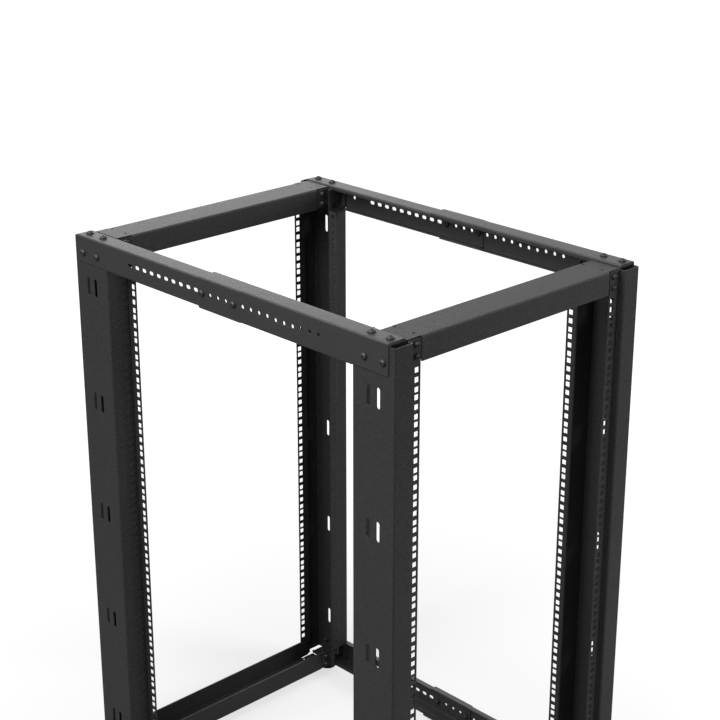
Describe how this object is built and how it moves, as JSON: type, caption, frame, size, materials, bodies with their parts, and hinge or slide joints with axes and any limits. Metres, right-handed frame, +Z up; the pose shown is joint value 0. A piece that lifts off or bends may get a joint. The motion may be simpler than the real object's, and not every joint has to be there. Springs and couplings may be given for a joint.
{
  "type": "four post open frame rack",
  "caption": "Open frame equipment rack: four folded steel posts with square hole strips, telescoping side rails, head and base crossbeams, levelling feet.",
  "frame": {"origin": "on the floor, at the middle of the rack's width and depth", "axes": "+X to the right seen from the front, +Y to the back, +Z up; the front is -Y"},
  "size_m": [0.5864, 0.81, 1.0955],
  "materials": {
    "frame_black": "fine satin black powder coat",
    "foot": "moulded black pad"
  },
  "bodies": {
    "root": {"post_front_left": "frame_black", "levelling_foot_front_left": "foot", "rail_left_top_front": "frame_black", "rail_left_base_front": "frame_black", "post_front_right": "frame_black", "levelling_foot_front_right": "foot", "rail_right_top_front": "frame_black", "rail_right_base_front": "frame_black", "crossbeam_front_top": "frame_black", "crossbeam_front_base": "frame_black", "post_rear_left": "frame_black", "levelling_foot_rear_left": "foot", "rail_left_top_rear": "frame_black", "beam_bracket_left_top": "frame_black", "rail_left_base_rear": "frame_black", "beam_bracket_left_base": "frame_black", "post_rear_right": "frame_black", "levelling_foot_rear_right": "foot", "rail_right_top_rear": "frame_black", "beam_bracket_right_top": "frame_black", "rail_right_base_rear": "frame_black", "beam_bracket_right_base": "frame_black", "crossbeam_rear_top": "frame_black", "crossbeam_rear_base": "frame_black"}
  },
  "joints": []
}
